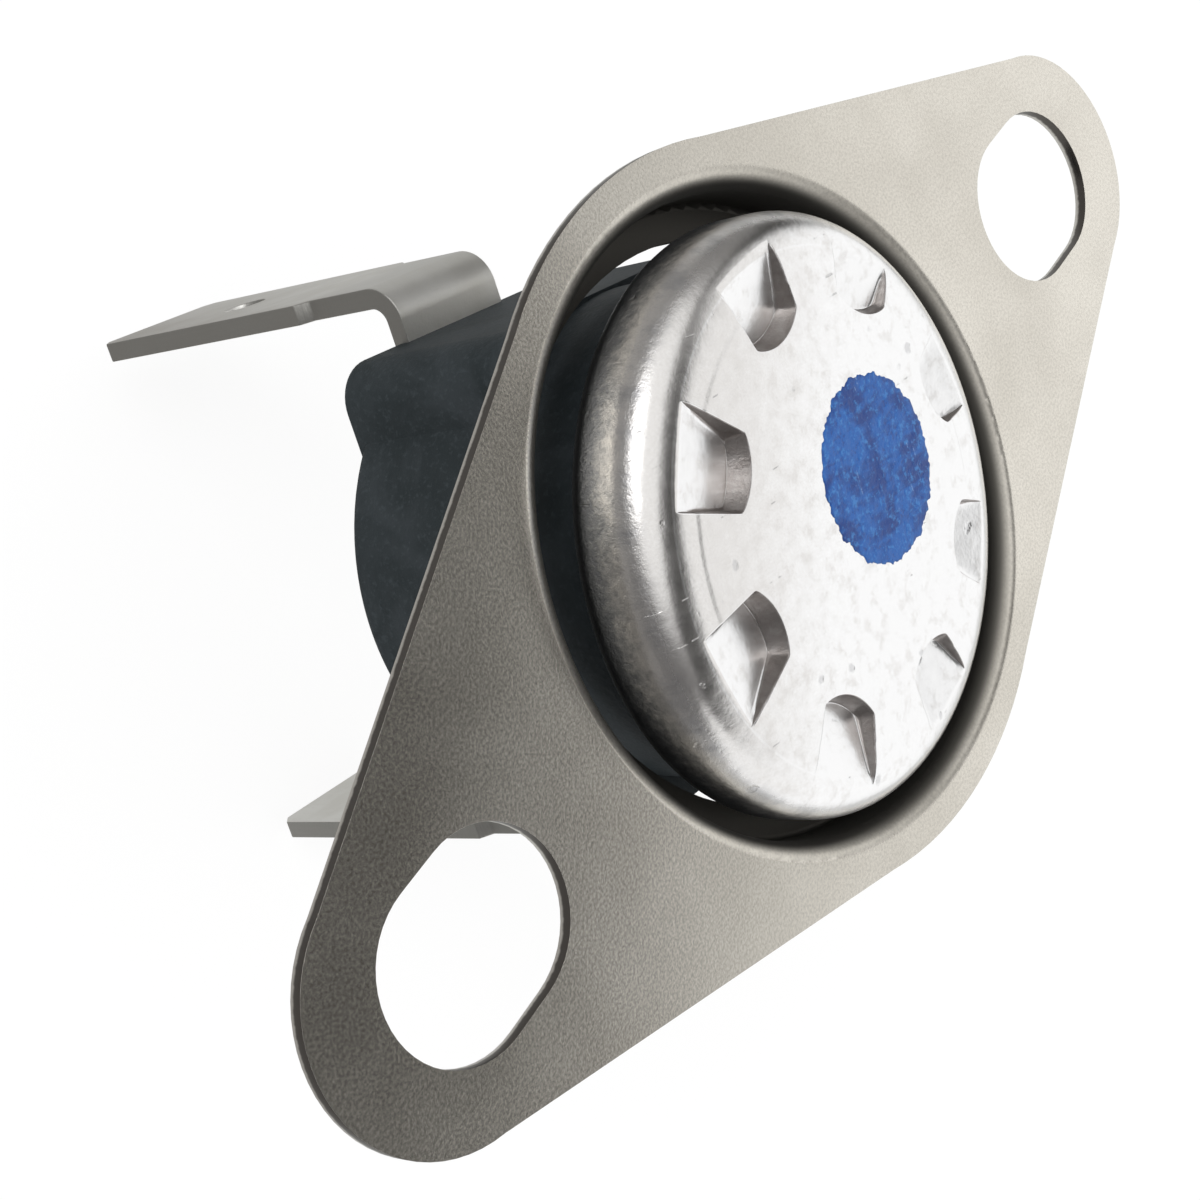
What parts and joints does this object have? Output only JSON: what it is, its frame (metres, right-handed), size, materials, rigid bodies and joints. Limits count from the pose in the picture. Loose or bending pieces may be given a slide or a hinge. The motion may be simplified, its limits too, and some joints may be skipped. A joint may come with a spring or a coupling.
{
  "type": "bimetal oven thermostat",
  "caption": "Snap-disc oven thermostat with a crimped aluminium cap, a moulded switch housing, folded blade terminals and a loose slotted mounting bracket.",
  "frame": {"origin": "centre of the bracket's opening, on the bracket's front face, midway between the two slots", "axes": "+X through the two slots, +Z out of the sensing side; the thermostat's own axis leans 7.5 degrees from +Z in the loose bracket"},
  "size_m": [0.0532, 0.0285, 0.0352],
  "materials": {
    "bracket_steel": "satin nickel plated sheet with a fine grain",
    "cap_aluminium": "drawn aluminium with fine scratches",
    "blue_paint": "thin hand-dabbed paint",
    "bimetal": "rolled bimetal sheet",
    "guide_phenolic": "moulded phenolic",
    "pin_ceramic": "glazed ceramic",
    "housing_phenolic": "moulded dark blue-grey phenolic",
    "brass": "plain stamped brass",
    "spring_bronze": "rolled phosphor bronze",
    "contact_silver": "silver",
    "tinned_brass": "tinned brass strip",
    "rivet_brass": "plain brass"
  },
  "bodies": {
    "bracket": {"mounting_bracket": "bracket_steel"},
    "switch_body": {"cap": "cap_aluminium", "paint_mark": "blue_paint", "bimetal_disc": "bimetal", "pin_guide": "guide_phenolic", "housing": "housing_phenolic", "arm_plate": "brass", "fixed_contact": "contact_silver", "fixed_plate": "brass", "arm_terminal": "tinned_brass", "fixed_terminal": "tinned_brass", "arm_rivet": "rivet_brass", "fixed_rivet": "rivet_brass"},
    "pin": {"transfer_pin": "pin_ceramic"},
    "arm": {"contact_arm": "spring_bronze", "moving_contact": "contact_silver"}
  },
  "joints": [
    {"name": "body_turn", "type": "hinge", "parent": "bracket", "child": "switch_body", "pos_m": [-0.0002, -0.0001, 0], "axis": [0.0653, -0.113, 0.9914], "continuous": true},
    {"name": "pin_push", "type": "slide", "parent": "switch_body", "child": "pin", "axis": [-0.0653, 0.113, -0.9914], "range_m": [0, 0.0004]},
    {"name": "arm_open", "type": "hinge", "parent": "switch_body", "child": "arm", "pos_m": [0.00048, 0.00378, -0.00555], "axis": [0.9479, -0.3035, -0.097], "range_deg": [0, 6.75], "stiffness_Nm_per_rad": 0.002, "springref_deg": -2.86}
  ],
  "couplings": [
    {"joint": "arm_open", "follows": "pin_push", "rad_per_m": 294.1}
  ]
}
